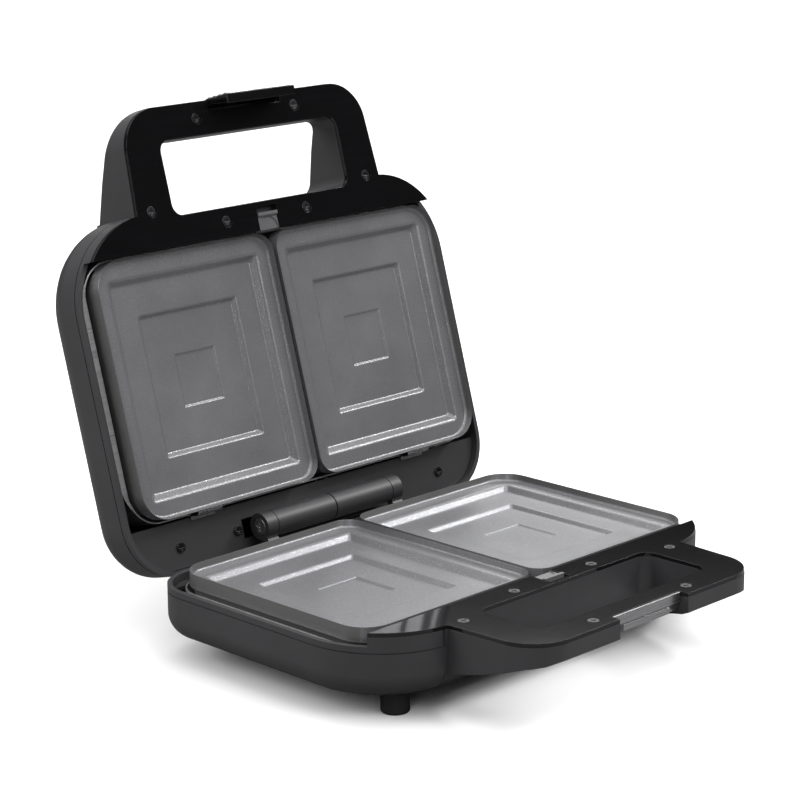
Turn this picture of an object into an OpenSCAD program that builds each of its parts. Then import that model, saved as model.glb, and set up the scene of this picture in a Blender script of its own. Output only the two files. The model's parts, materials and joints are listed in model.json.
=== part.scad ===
// Two-slice hinged contact toaster with lift-out stepped plates, lid standing open.
// Millimetres, +Z up, +X along the hinge, -Y towards the handles.
// Origin: middle of the outline of the open toaster, on the plane the feet stand on.
// The profiles count y from the middle of the cooking plates; mid_y moves them to the origin.
// Each half is drawn in its own frame, where h counts away from the meeting plane of the plates.

/* [Plates] */
// Width of a cooking plate across both cells
plate_w = 236; // [224:2:250]
// Depth of a cooking plate from front to hinge
plate_d = 130; // [122:2:140]
// Outside corner radius of a plate
plate_r = 15; // [10:1:20]
// Height of the plate from rim to skirt
plate_h = 14; // [13:0.5:14]
// Drop from the rim to the outer land of a cell
land_drop = 4.5; // [3:0.5:5]
// Depth of the first step
step_one = 3.2; // [2:0.2:3.4]
// Depth of the second step
step_two = 2; // [1:0.2:2.2]
// Depth of the middle square
step_three = 1; // [0.6:0.2:1.2]
// Width of the ridge between the cells
ridge_w = 6.4; // [5:0.2:9]

/* [Casing] */
// Margin of the casing beside the plates
side_margin = 9; // [8:0.5:12]
// Depth of the base casing below the plate rim
base_depth = 34; // [31:0.5:38]
// Depth of the lid casing above the plate rim
lid_depth = 37.5; // [34:0.5:44]
// Plan radius of the front shoulders
shoulder_r = 46; // [36:1:50]
// Wall of the plastic shells
wall = 2.5; // [2:0.25:3]

/* [Handles] */
// Reach of the handles in front of the plates
handle_reach = 72; // [64:0.5:80]
// Width of the handles at the front
handle_w = 166; // [150:2:176]
// Width of the grip opening
grip_w = 122; // [100:2:126]
// Depth of the grip bar
grip_bar = 17.5; // [13:0.5:18]
// Thickness of the handles at the front
handle_t = 12; // [12:0.5:15]

/* [Hinge] */
// Distance of the hinge axis behind the plates
hinge_back = 16.25; // [15:0.25:18]
// Hinge pin diameter
pin_d = 5; // [4:0.25:6]
// Diameter of the hinge barrels
barrel_d = 14; // [12:0.5:15]
// Half the length of the hinge across its collars
hinge_half = 48.6; // [46:0.2:51]
// Length of each collar of the base on the hinge
collar_w = 7.2; // [6:0.2:9]
// Angle at which the lid stands open
open_angle = 106; // [90:1:110]

/* [Feet] */
// Height of the feet
foot_h = 12; // [8:0.5:20]
// Diameter of the feet
foot_d = 13.8; // [12:0.5:18]

/* [Hidden] */
$fn = 64;
gap = 0.6;
hx = plate_w / 2;
hy = plate_d / 2;
hw = hx + side_margin;
rim_z = base_depth + foot_h;
hinge_y = hy + hinge_back;
hinge_z = rim_z + 1.6;
base_axis_h = rim_z - hinge_z;
lid_axis_h = hinge_z - rim_z - gap;
front_y = -hy - 20;
grip_y = -hy - handle_reach;
hole_y0 = grip_y + grip_bar;
hole_y1 = -hy - 16.5;
seam_y = -hy - 1.3;
base_back = hy + 12;
lid_back = hy + 29.5;
base_back_r = 24;
lid_back_r = 30;
base_edge_r = 12;
lid_edge_r = 16;
fascia_top = 0.8;
fascia_t = 2;
fascia_inset = 0.35;
band_h = 10.4;
band_d = 0.6;
lip_h = 7.5;
notch_x = 25;
notch_y = grip_y + 6;
cell_in = ridge_w / 2;
cell_out = hx - 2;
cell_cx = (cell_in + cell_out) / 2;
cell_hx = (cell_out - cell_in) / 2;
cell_hy = hy - 2;
one_x = cell_hx - 7.2;
one_y = cell_hy - 8;
two_x = one_x * 0.655;
two_y = one_y * 0.652;
three_x = one_x * 0.265;
three_y = one_y * 0.245;
pan_h = 24;
heat_h = 18.2;
heat_r = 3.2;
collar_x = hinge_half - collar_w / 2;
knuckle_x = hinge_half - collar_w - 0.4;
gland_h = base_depth - base_edge_r - 2.8;
lens_y = front_y + 12;
pivot_y = grip_y + 2.9;
far_y = hinge_y + (front_y + 2 - hinge_y) * cos(open_angle)
    + (lid_depth - 5.2 - lid_axis_h) * sin(open_angle);
mid_y = (grip_y + far_y) / 2;
pivot_h = 6.5;
screw_at = [[-hx * 0.636, front_y - 0.5], [hx * 0.636, front_y - 0.5],
    [-hx * 0.237, hole_y1 + 7.2], [hx * 0.237, hole_y1 + 7.2],
    [-hx * 0.288, hole_y0 - grip_bar / 2], [hx * 0.288, hole_y0 - grip_bar / 2]];
base_rear_at = [[-92, hy + 6.1], [92, hy + 6.1], [-60, hy + 6.1], [60, hy + 6.1]];
lid_rear_at = [[-93, hinge_y], [93, hinge_y], [-54.8, hinge_y], [54.8, hinge_y]];
foot_at = [[-hx * 0.805, front_y + 24], [hx * 0.805, front_y + 24],
    [-hx * 0.69, hy - 4], [hx * 0.69, hy - 4]];

// ---- placing the two halves ----
module lower() {
    translate([0, -mid_y, rim_z])
        mirror([0, 0, 1])
            children();
}
module upper() {
    translate([0, hinge_y - mid_y, hinge_z])
        rotate([-open_angle, 0, 0])
            translate([0, -hinge_y, rim_z + gap - hinge_z])
                children();
}

// ---- helpers ----
module round_rect(w, d, r) {
    union() {
        square([w - 2 * r, d], center = true);
        square([w, d - 2 * r], center = true);
        for (sx = [-1, 1])
            for (sy = [-1, 1])
                translate([sx * (w / 2 - r), sy * (d / 2 - r)])
                    circle(r = r);
    }
}
module along_y(y0, y1) {
    translate([0, y1, 0])
        rotate([90, 0, 0])
            linear_extrude(y1 - y0)
                children();
}
module along_x(x0, x1) {
    translate([x0, 0, 0])
        rotate([90, 0, 90])
            linear_extrude(x1 - x0)
                children();
}
module rod_x(x0, x1, r) {
    translate([x0, 0, 0])
        rotate([0, 90, 0])
            cylinder(h = x1 - x0, r = r);
}

// ---- plan outlines ----
module body_plan(back, back_r, o) {
    union() {
        translate([-hw + o, front_y + shoulder_r])
            square([2 * (hw - o), back - back_r - front_y - shoulder_r]);
        translate([-hw + shoulder_r, front_y + o])
            square([2 * (hw - shoulder_r), shoulder_r + 10]);
        translate([-hw + back_r, 0])
            square([2 * (hw - back_r), back - o]);
        for (sx = [-1, 1]) {
            translate([sx * (hw - shoulder_r), front_y + shoulder_r])
                circle(r = shoulder_r - o);
            translate([sx * (hw - back_r), back - back_r])
                circle(r = back_r - o);
        }
    }
}
module handle_plan(o) {
    hc = handle_w / 2 - 22;
    union() {
        polygon([[-handle_w / 2 - 3 + o, hole_y1 + 14], [-handle_w / 2 + o, grip_y + 22],
            [handle_w / 2 - o, grip_y + 22], [handle_w / 2 + 3 - o, hole_y1 + 14]]);
        translate([-hc, grip_y + o])
            square([2 * hc, 30]);
        for (sx = [-1, 1])
            translate([sx * hc, grip_y + 22])
                circle(r = 22 - o);
    }
}
module grip_plan(o) {
    translate([0, (hole_y0 + hole_y1) / 2])
        round_rect(grip_w + 2 * o, hole_y1 - hole_y0 + 2 * o, 6 + o);
}
module full_plan(back, back_r, o) {
    difference() {
        union() {
            body_plan(back, back_r, o);
            handle_plan(o);
        }
        grip_plan(o);
    }
}

// ---- side and end profiles, as (y, h) and (x, h) ----
function base_under(o) = [[grip_y + o, handle_t - 1.5 - o], [grip_y + 3.5, handle_t - o],
    [grip_y + 10, handle_t + 1.2 - o], [grip_y + 19, handle_t + 4.1 - o],
    [grip_y + 28, handle_t + 6.9 - o], [grip_y + 37.5, handle_t + 9.4 - o],
    [front_y + o, handle_t + 12.5 - o], [front_y + 1 + o, base_depth - 7 - o],
    [front_y + 4 + o, base_depth - 3 - o], [front_y + 8.5 + o, base_depth - 0.7 - o],
    [front_y + 14 + o, base_depth - o]];
function lid_under(o) = [[grip_y + o, handle_t - 2 - o], [grip_y + 3.5, handle_t - o],
    [grip_y + 14, handle_t + 4.2 - o], [grip_y + 33, handle_t + 12.5 - o],
    [front_y + 2, lid_depth - 5.2 - o], [front_y + 8, lid_depth - 3.6 - o],
    [front_y + 25, lid_depth - 1.8 - o], [front_y + 50, lid_depth - 0.5 - o],
    [0, lid_depth - o]];
module base_side(o) {
    r = base_edge_r;
    union() {
        polygon(concat([[grip_y + o, fascia_top]], base_under(o),
            [[base_back - r, base_depth - o], [base_back - r, fascia_top]]));
        translate([base_back - r - 1, fascia_top])
            square([r + 1 - o, base_depth - r - fascia_top]);
        translate([base_back - r, base_depth - r])
            circle(r = r - o);
    }
}
module lid_side(o) {
    r = lid_edge_r;
    union() {
        polygon(concat([[grip_y + o, fascia_top]], lid_under(o),
            [[hy * 0.5, lid_depth - 0.4 - o], [lid_back - r, lid_depth - 1.6 - o],
            [lid_back - r, fascia_top]]));
        translate([lid_back - r - 1, fascia_top])
            square([r + 1 - o, lid_depth - 1.6 - r - fascia_top]);
        translate([lid_back - r, lid_depth - 1.6 - r])
            circle(r = r - o);
    }
}
module end_profile(depth, r, o) {
    union() {
        translate([-hw + o, 0])
            square([2 * (hw - o), depth - r]);
        translate([-hw + r, 0])
            square([2 * (hw - r), depth - o]);
        for (sx = [-1, 1])
            translate([sx * (hw - r), depth - r])
                circle(r = r - o);
    }
}
// cutter that carries the edge rounding r round a plan corner of radius big
module edge_ring(big, r, top, o) {
    rotate_extrude(angle = 90)
        translate([big - r, top - r])
            difference() {
                square([r + 2, r + 2]);
                circle(r = r - o);
            }
}
module corner_cuts(back, back_r, r, top, o) {
    translate([hw - back_r, back - back_r, 0])
        edge_ring(back_r, r, top, o);
    translate([back_r - hw, back - back_r, 0])
        rotate([0, 0, 90])
            edge_ring(back_r, r, top, o);
    difference() {
        union() {
            translate([shoulder_r - hw, front_y + shoulder_r, 0])
                rotate([0, 0, 180])
                    edge_ring(shoulder_r, r, top, o);
            translate([hw - shoulder_r, front_y + shoulder_r, 0])
                rotate([0, 0, 270])
                    edge_ring(shoulder_r, r, top, o);
        }
        translate([-handle_w / 2 - 3.5, front_y - 5, 0])
            cube([handle_w + 7, 60, 60]);
    }
}
module base_solid(o) {
    difference() {
        intersection() {
            linear_extrude(base_depth + 1)
                full_plan(base_back, base_back_r, o);
            along_y(grip_y - 1, base_back + 1)
                end_profile(base_depth, base_edge_r, o);
            along_x(-hw - 1, hw + 1)
                base_side(o);
        }
        corner_cuts(base_back, base_back_r, base_edge_r, base_depth, o);
    }
}
module lid_solid(o) {
    difference() {
        intersection() {
            linear_extrude(lid_depth + 1)
                full_plan(lid_back, lid_back_r, o);
            along_y(grip_y - 1, lid_back + 1)
                end_profile(lid_depth, lid_edge_r, o);
            along_x(-hw - 1, hw + 1)
                lid_side(o);
        }
        corner_cuts(lid_back, lid_back_r, lid_edge_r, lid_depth, o);
    }
}

// ---- base ----
module bosses(h0, r) {
    for (p = screw_at)
        translate([p[0], p[1], h0])
            cylinder(h = 60, r = r);
}
module boss_holes(d) {
    for (p = screw_at)
        translate([p[0], p[1], 0])
            cylinder(h = d, r = 1.3);
}
module band_groove(back, back_r) {
    difference() {
        translate([0, 0, band_h])
            linear_extrude(band_d)
                difference() {
                    body_plan(back, back_r, -1);
                    body_plan(back, back_r, band_d);
                }
        translate([-handle_w / 2 - 3.2, front_y - 5, 0])
            cube([handle_w + 6.4, 20, 60]);
    }
    for (sx = [-1, 1])
        translate([sx * (handle_w / 2 + 4.2) - 1, front_y - 2, fascia_top + fascia_t - 0.01])
            cube([2, 3.2, band_h - fascia_top - fascia_t + 0.1]);
}
module clip_bed() {
    translate([-9.5, hole_y1 + 0.5, 5.3])
        cube([19, seam_y - hole_y1 - 2.4, 3]);
}
module base_shell() {
    color("#3b3a3d")
        lower()
            difference() {
                union() {
                    difference() {
                        base_solid(0);
                        base_solid(wall);
                        band_groove(base_back, base_back_r);
                        translate([-hw, seam_y, -1])
                            cube([2 * hw, base_back - seam_y + 1, lip_h + 1]);
                        translate([0, 0, fascia_top - 0.01])
                            linear_extrude(fascia_t + 0.01)
                                fascia_outline(base_back, base_back_r, -0.5);
                    }
                    intersection() {
                        base_solid(0.4);
                        bosses(fascia_top + fascia_t, 4);
                    }
                    intersection() {
                        base_solid(0.4);
                        translate([-hw + 4, seam_y - 2, 3])
                            cube([2 * hw - 8, 2, base_depth]);
                    }
                    clip_bed();
                    for (p = foot_at)
                        translate([p[0], p[1], base_depth - 9])
                            cylinder(h = 9, r = foot_d / 2);
                    intersection() {
                        base_solid(0.4);
                        union() {
                            for (p = base_rear_at)
                                translate([p[0], p[1], 13.4])
                                    cylinder(h = base_depth, r = 3);
                            for (sx = [-1, 1])
                                translate([sx * (notch_x + 1) - 1, grip_y + 0.4, 3])
                                    cube([2, grip_bar - 1, 40]);
                        }
                    }
                }
                boss_holes(9);
                translate([-notch_x, grip_y - 1, -1])
                    cube([2 * notch_x, 7, 40]);
                translate([-notch_x, grip_y + 1, 2.8])
                    cube([2 * notch_x, grip_bar - wall - 1, 40]);
                translate([-8.8, seam_y - 3, 0])
                    cube([17.6, 4, 5.3]);
                for (p = foot_at)
                    translate([p[0], p[1], base_depth - 8])
                        cylinder(h = 9, r = 1.3);
                for (p = base_rear_at)
                    translate([p[0], p[1], 13])
                        cylinder(h = 8, r = 1.3);
                translate([14, base_back - 4, gland_h])
                    rotate([-90, 0, 0])
                        cylinder(h = 8, r = 4.5);
            }
}
module fascia_outline(back, back_r, o) {
    difference() {
        intersection() {
            full_plan(back, back_r, o);
            translate([-hw - 1, grip_y - 1])
                square([2 * hw + 2, seam_y - grip_y + 1 - 0.01]);
        }
        translate([-notch_x, grip_y - 1])
            square([2 * notch_x, 7]);
    }
}
module fascia_plate(back, back_r) {
    difference() {
        translate([0, 0, fascia_top])
            linear_extrude(fascia_t)
                fascia_outline(back, back_r, fascia_inset);
        for (p = screw_at)
            translate([p[0], p[1], 0])
                cylinder(h = 9, r = 1.7);
        for (p = screw_at)
            translate([p[0], p[1], fascia_top - 0.1])
                cylinder(h = 1.3, r = 3.2);
        translate([-7, hole_y1 + 2.8, 0])
            cube([14, seam_y - hole_y1, 5]);
    }
}
module base_fascia() {
    color("#151416")
        lower()
            fascia_plate(base_back, base_back_r);
}
module cover_plan(back, back_r) {
    intersection() {
        body_plan(back, back_r, wall + 0.3);
        translate([-hw, hy + 3])
            square([2 * hw, back - hy - 3]);
    }
}
module lug(x0, x1, ah) {
    along_x(x0, x1)
        polygon([[hy + 4, 13.4], [hy + 4, 10], [hinge_y - 6, ah + 5.4], [hinge_y - 5, ah],
            [hinge_y, ah + 5], [hy + 12, 7.2], [hy + 9, 7.2], [hy + 9, 13.4]]);
}
module base_rear_cover() {
    color("#343336")
        lower()
            difference() {
                union() {
                    translate([0, 0, 11.4])
                        linear_extrude(2)
                            cover_plan(base_back, base_back_r);
                    for (sx = [-1, 1]) {
                        lug(sx * collar_x - collar_w / 2, sx * collar_x + collar_w / 2, base_axis_h);
                        translate([0, hinge_y, base_axis_h])
                            rod_x(sx * collar_x - collar_w / 2, sx * collar_x + collar_w / 2, barrel_d / 2);
                    }
                }
                translate([0, hinge_y, base_axis_h])
                    rod_x(-60, 60, pin_d / 2 + 0.05);
                for (x = [-hinge_half - 1, hinge_half - 2.1])
                    translate([0, hinge_y, base_axis_h])
                        rod_x(x, x + 3.1, 4.6);
                for (p = base_rear_at)
                    translate([p[0], p[1], 11])
                        cylinder(h = 3, r = 1.7);
            }
}
module pan(back_y) {
    difference() {
        union() {
            translate([0, (seam_y + 0.2 + back_y) / 2, 9])
                linear_extrude(pan_h + 0.8 - 9)
                    round_rect(2 * hw - 12, back_y - seam_y - 0.2, plate_r + 3);
            translate([0, (seam_y + 0.2 + back_y) / 2, 9])
                linear_extrude(0.8)
                    round_rect(2 * (hw - wall) - 1.2, back_y - seam_y - 0.2, plate_r + 9);
        }
        translate([0, (seam_y + 0.2 + back_y) / 2, 8])
            linear_extrude(pan_h - 8)
                round_rect(2 * hw - 13.6, back_y - seam_y - 1.8, plate_r + 2.2);
        for (sx = [-1, 1])
            translate([sx * 18, hy - 20, pan_h - 1])
                cylinder(h = 3, r = 4);
    }
    for (sx = [-1, 1])
        for (sy = [-1, 1])
            translate([sx * (hx - 10) - 3, sy * (hy - 9) - 3, plate_h + 0.1])
                cube([6, 6, pan_h - plate_h]);
}
module base_reflector() {
    color("#b9b9bb")
        lower()
            pan(hy + 1.7);
}
module heater() {
    lx = hx - 36;
    y0 = -hy + 27;
    y1 = hy - 20;
    union() {
        translate([0, 0, heat_h]) {
            translate([0, y0, 0])
                rod_x(14 - lx, lx - 14, heat_r);
            translate([0, y1, 0])
                rod_x(14 - lx, -18, heat_r);
            translate([0, y1, 0])
                rod_x(18, lx - 14, heat_r);
            for (sx = [-1, 1])
                translate([sx * lx, y1 - 14, 0])
                    rotate([90, 0, 0])
                        cylinder(h = y1 - y0 - 28, r = heat_r);
            for (a = [0, 90, 180, 270])
                translate([a == 0 || a == 270 ? lx - 14 : 14 - lx, a < 180 ? y1 - 14 : y0 + 14, 0])
                    rotate([0, 0, a])
                        rotate_extrude(angle = 90)
                            translate([14, 0])
                                circle(r = heat_r);
            for (sx = [-1, 1])
                translate([sx * 18, y1, 0])
                    sphere(r = heat_r);
        }
        for (sx = [-1, 1])
            translate([sx * 18, y1, heat_h])
                cylinder(h = 8.4, r = heat_r);
    }
}
module base_heater() {
    color("#5f5d5b")
        lower()
            heater();
}
module brackets() {
    for (sx = [-1, 1])
        for (y = [-hy + 27, hy - 20])
            difference() {
                translate([sx * 50 - 4, y - 6, heat_h - 4.2])
                    cube([8, 12, pan_h - heat_h + 4.1]);
                translate([sx * 50 - 5, y - 5.2, heat_h + heat_r + 0.9])
                    cube([10, 10.4, 10]);
                translate([0, y, heat_h])
                    rod_x(sx * 50 - 5, sx * 50 + 5, heat_r + 0.1);
            }
}
module base_heater_brackets() {
    color("#a5a5a5")
        lower()
            brackets();
}
module tabs() {
    for (sx = [-1, 1])
        along_x(sx * 75 - 8, sx * 75 + 8)
            polygon([[hy + 2, 11.3], [hy + 2, 5.2], [hy + 0.5, 4.4], [hy + 0.5, 3.6],
                [hy + 2.8, 4.6], [hy + 2.8, 11.3]]);
    for (sx = [-1, 1])
        translate([sx * 75 - 8, hy + 2, 10.5])
            cube([16, 2.6, 0.8]);
}
module base_plate_tabs() {
    color("#c4c4c6")
        lower()
            tabs();
}
module screw(p, h0, len, r) {
    translate([p[0], p[1], h0])
        difference() {
            union() {
                cylinder(h = 1, r = r);
                translate([0, 0, 0.9])
                    cylinder(h = len, r = 1.25);
            }
            translate([-r * 0.6, -0.35, -0.1])
                cube([r * 1.2, 0.7, 0.7]);
            translate([-0.35, -r * 0.6, -0.1])
                cube([0.7, r * 1.2, 0.7]);
        }
}
module base_fascia_screws() {
    color("#2a2a2c")
        lower()
            for (p = screw_at)
                screw(p, 1, 6.5, 2.8);
}
module base_rear_screws() {
    color("#2a2a2c")
        lower()
            for (p = base_rear_at)
                screw(p, 10.4, 8, 2.6);
}
module feet() {
    color("#101010")
        lower()
            for (p = foot_at)
                translate([p[0], p[1], base_depth])
                    difference() {
                        cylinder(h = foot_h, r = foot_d / 2);
                        translate([0, 0, -1])
                            cylinder(h = foot_h + 2, r = 1.7);
                        translate([0, 0, foot_h - 4])
                            cylinder(h = 5, r = 3.4);
                    }
}
module foot_screws() {
    color("#8f8f92")
        lower()
            for (p = foot_at)
                translate([p[0], p[1], base_depth + foot_h - 2.9])
                    mirror([0, 0, 1])
                        screw([0, 0], 0, 13.5, 2.9);
}
module catch_bar() {
    color("#c2c2c4")
        lower()
            difference() {
                union() {
                    along_x(-notch_x + 0.2, notch_x - 0.2)
                        polygon([[grip_y + 4.9, 1.2], [grip_y + 5.8, 1.2], [grip_y + 5.8, 3],
                            [hole_y0 - wall - 0.2, 3], [hole_y0 - wall - 0.2, 10],
                            [grip_y + 4.9, 10]]);
                }
                translate([-30, grip_y + 4, 6.1])
                    cube([60, 1.6, 0.6]);
                for (sx = [-1, 1])
                    translate([sx * 23 - 6.2, grip_y + 4, 6.6])
                        cube([12.4, 2.2, 4]);
                translate([-30, grip_y + 6.9, 4.4])
                    cube([60, 3.6, 6]);
            }
}
module thermostat() {
    color("#d8d4c8")
        lower()
            translate([-52, -6, pan_h + 0.8])
                difference() {
                    union() {
                        cylinder(h = 3.2, r = 9.5);
                        cylinder(h = 5.2, r = 6.5);
                    }
                    translate([-1.5, -8, 4.2])
                        cube([3, 16, 2]);
                }
}
module terminal_block() {
    color("#d9d4c5")
        lower()
            translate([-17, hy - 48, pan_h + 0.8])
                difference() {
                    cube([34, 13, 5.2]);
                    for (i = [0 : 2])
                        translate([6 + 11 * i, 6.5, 3])
                            cylinder(h = 4, r = 2.2);
                    for (i = [0 : 1])
                        translate([11 + 11 * i, -1, 3.6])
                            cube([1.2, 15, 3]);
                }
}
module cord_gland() {
    color("#161617")
        lower()
            translate([14, base_back - 6, gland_h])
                rotate([-90, 0, 0])
                    difference() {
                        union() {
                            cylinder(h = 8, r = 4.45);
                            translate([0, 0, 6])
                                cylinder(h = 2.6, r = 5.8);
                            cylinder(h = 5.5 - wall, r = 5.2);
                        }
                        translate([0, 0, -1])
                            cylinder(h = 12, r = 3.2);
                    }
}
module wire_x(x0, x1, y, h) {
    translate([0, y, h])
        rod_x(x0, x1, 1.2);
}
module wire_y(x, y0, y1, h) {
    translate([x, y1, h])
        rotate([90, 0, 0])
            cylinder(h = y1 - y0, r = 1.2);
}
module wire_h(x, y, h0, h1) {
    translate([x, y, h0])
        cylinder(h = h1 - h0, r = 1.2);
}
module bend(x, y, h) {
    translate([x, y, h])
        sphere(r = 1.2);
}
module base_wires() {
    color("#c9c2b2")
        lower() {
            wire_y(-16, hy - 34.8, hy - 23.4, pan_h + 2.1);
            wire_y(16, hy - 34.8, hy - 23.4, pan_h + 2.1);
            union() {
                wire_y(-10, -6, hy - 48.2, pan_h + 3);
                bend(-10, -6, pan_h + 3);
                wire_x(-42.2, -10, -6, pan_h + 3);
            }
            union() {
                wire_y(14, hy - 34.8, hy + 4, pan_h + 4.3);
                bend(14, hy + 4, pan_h + 4.3);
                wire_h(14, hy + 4, gland_h, pan_h + 4.3);
                bend(14, hy + 4, gland_h);
                wire_y(14, hy + 4, hy + 5.8, gland_h);
            }
        }
}
module hinge_pin() {
    color("#b8b8ba")
        translate([0, hinge_y - mid_y, hinge_z])
            difference() {
                union() {
                    rod_x(0.9 - hinge_half, hinge_half - 0.9, pin_d / 2);
                    rod_x(-hinge_half, 2 - hinge_half, 4.3);
                }
                translate([-hinge_half - 0.2, -2.4, -0.4])
                    cube([1, 4.8, 0.8]);
                translate([-hinge_half - 0.2, -0.4, -2.4])
                    cube([1, 0.8, 4.8]);
            }
}
module hinge_cap() {
    color("#9a9a9c")
        translate([0, hinge_y - mid_y, hinge_z])
            difference() {
                rod_x(hinge_half - 2, hinge_half, 4.3);
                rod_x(hinge_half - 3, hinge_half - 0.7, pin_d / 2 + 0.03);
            }
}

// ---- plates ----
module pocket(cx, x, y, h0, d) {
    intersection() {
        along_y(-hy, hy)
            polygon([[cx - x - 1, h0 - 1], [cx + x + 1, h0 - 1],
                [cx + x - d, h0 + d], [cx - x + d, h0 + d]]);
        along_x(cx - x - 2, cx + x + 2)
            polygon([[-y - 1, h0 - 1], [y + 1, h0 - 1], [y - d, h0 + d], [d - y, h0 + d]]);
    }
}
module plate() {
    h1 = land_drop;
    h2 = h1 + step_one;
    h3 = h2 + step_two;
    difference() {
        union() {
            linear_extrude(8)
                round_rect(plate_w, plate_d, plate_r);
            linear_extrude(plate_h)
                round_rect(plate_w - 3, plate_d - 3, plate_r - 1.5);
        }
        for (s = [-1, 1]) {
            translate([s * cell_cx, 0, -1])
                linear_extrude(h1 + 1)
                    round_rect(2 * cell_hx, 2 * cell_hy, 10);
            pocket(s * cell_cx, one_x, one_y, h1, step_one);
            pocket(s * cell_cx, two_x, two_y, h2, step_two);
            pocket(s * cell_cx, three_x, three_y, h3, step_three);
        }
        difference() {
            translate([0, 0, h1 + 2.2])
                linear_extrude(plate_h)
                    round_rect(plate_w - 8, plate_d - 8, plate_r - 4);
            for (s = [-1, 1]) {
                translate([s * cell_cx - one_x - 1, -one_y - 1, 0])
                    cube([2 * one_x + 2, 2 * one_y + 2, h2 + 2.2]);
                translate([s * cell_cx - two_x - 1, -two_y - 1, 0])
                    cube([2 * two_x + 2, 2 * two_y + 2, h3 + 2.2]);
                translate([s * cell_cx - three_x - 1, -three_y - 1, 0])
                    cube([2 * three_x + 2, 2 * three_y + 2, h3 + step_three + 1.8]);
            }
        }
    }
}
module lower_plate() {
    color("#6c6c6f")
        lower()
            plate();
}
module upper_plate() {
    color("#6c6c6f")
        upper()
            plate();
}

// ---- sliding release clips ----
module release_clip() {
    difference() {
        union() {
            translate([-8.5, seam_y - 9.2, 3])
                cube([17, 9.9, 2.2]);
            translate([-6.7, seam_y - 9.2, 1.4])
                cube([13.4, 9.2, 1.7]);
            along_x(-6.7, 6.7)
                polygon([[seam_y - 9.2, 1.5], [seam_y - 9.2, 0.2], [seam_y - 7.6, 0.2],
                    [seam_y - 6.4, 1.5]]);
        }
        translate([0, seam_y - 0.6, -1])
            cylinder(h = 2.9, r = 6.2);
    }
}
module lower_release_clip() {
    color("#8d8d90")
        lower()
            release_clip();
}
module upper_release_clip() {
    color("#8d8d90")
        upper()
            release_clip();
}

// ---- lid ----
module lid_shell() {
    color("#3b3a3d")
        upper()
            difference() {
                union() {
                    difference() {
                        lid_solid(0);
                        lid_solid(wall);
                        band_groove(lid_back, lid_back_r);
                        translate([-hw, seam_y, -1])
                            cube([2 * hw, lid_back - seam_y + 1, lip_h + 1]);
                        translate([0, 0, fascia_top - 0.01])
                            linear_extrude(fascia_t + 0.01)
                                fascia_outline(lid_back, lid_back_r, -0.5);
                    }
                    intersection() {
                        lid_solid(0.4);
                        union() {
                            bosses(fascia_top + fascia_t, 4);
                            translate([-hw + 4, seam_y - 2, 3])
                                cube([2 * hw - 8, 2, lid_depth]);
                            for (p = lid_rear_at)
                                translate([p[0], p[1], 13.4])
                                    cylinder(h = lid_depth, r = 3.4);
                            for (sx = [-1, 1])
                                translate([sx * (notch_x + 1.5) - 1.5, grip_y + 0.4, 3])
                                    cube([3, grip_bar - 1, 40]);
                            for (sx = [-1, 1])
                                translate([sx * 11, lens_y, lid_depth - 8])
                                    cylinder(h = 20, r = 5.5);
                        }
                    }
                    clip_bed();
                }
                boss_holes(9);
                translate([-notch_x, grip_y - 1, -1])
                    cube([2 * notch_x, 7.7, 40]);
                translate([-8.8, seam_y - 3, 0])
                    cube([17.6, 4, 5.3]);
                for (p = lid_rear_at)
                    translate([p[0], p[1], 13])
                        cylinder(h = 8, r = 1.3);
                translate([0, pivot_y, pivot_h])
                    rod_x(-notch_x - 2, notch_x + 2, 1.55);
                for (sx = [-1, 1])
                    translate([sx * 11, lens_y, 20])
                        cylinder(h = 30, r = 3.6);
            }
}
module lid_fascia() {
    color("#151416")
        upper()
            fascia_plate(lid_back, lid_back_r);
}
module lid_rear_cover() {
    color("#343336")
        upper()
            difference() {
                union() {
                    translate([0, 0, 11.4])
                        linear_extrude(2)
                            cover_plan(lid_back, lid_back_r);
                    for (sx = [-1, 1]) {
                        translate([0, hinge_y, lid_axis_h])
                            rod_x((sx - 1) / 2 * knuckle_x + sx * 0.4 + (1 - sx) / 2 * 0.4,
                                (sx + 1) / 2 * knuckle_x - (1 - sx) / 2 * 0.4, barrel_d / 2);
                        along_x(sx * knuckle_x / 2 - 18.5, sx * knuckle_x / 2 + 18.5)
                            polygon([[hinge_y - 5.5, lid_axis_h], [hinge_y + 6, lid_axis_h],
                                [hinge_y + 6, 12], [hinge_y - 5.5, 12]]);
                    }
                }
                translate([0, hinge_y, lid_axis_h])
                    rod_x(-60, 60, pin_d / 2 + 0.05);
                for (p = lid_rear_at)
                    translate([p[0], p[1], 11])
                        cylinder(h = 3, r = 1.7);
                for (sx = [-1, 1])
                    translate([sx * (collar_x + 1) - 5, hinge_y - 5, 11])
                        cube([10, 10, 3]);
            }
}
module lid_reflector() {
    color("#b9b9bb")
        upper()
            pan(hy + 1.7);
}
module lid_heater() {
    color("#5f5d5b")
        upper()
            heater();
}
module lid_heater_brackets() {
    color("#a5a5a5")
        upper()
            brackets();
}
module lid_plate_tabs() {
    color("#c4c4c6")
        upper()
            tabs();
}
module lid_fascia_screws() {
    color("#2a2a2c")
        upper()
            for (p = screw_at)
                screw(p, 1, 6.5, 2.8);
}
module lid_rear_screws() {
    color("#2a2a2c")
        upper()
            for (p = lid_rear_at)
                screw(p, 10.4, 8, 2.6);
}
module thermal_fuse() {
    color("#cfc9ba")
        upper()
            translate([0, 10, pan_h + 3.9])
                union() {
                    rod_x(-8, 8, 3);
                    rod_x(-16, 16, 0.8);
                    translate([-3, -5, -3.1])
                        cube([6, 10, 1]);
                }
}
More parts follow.
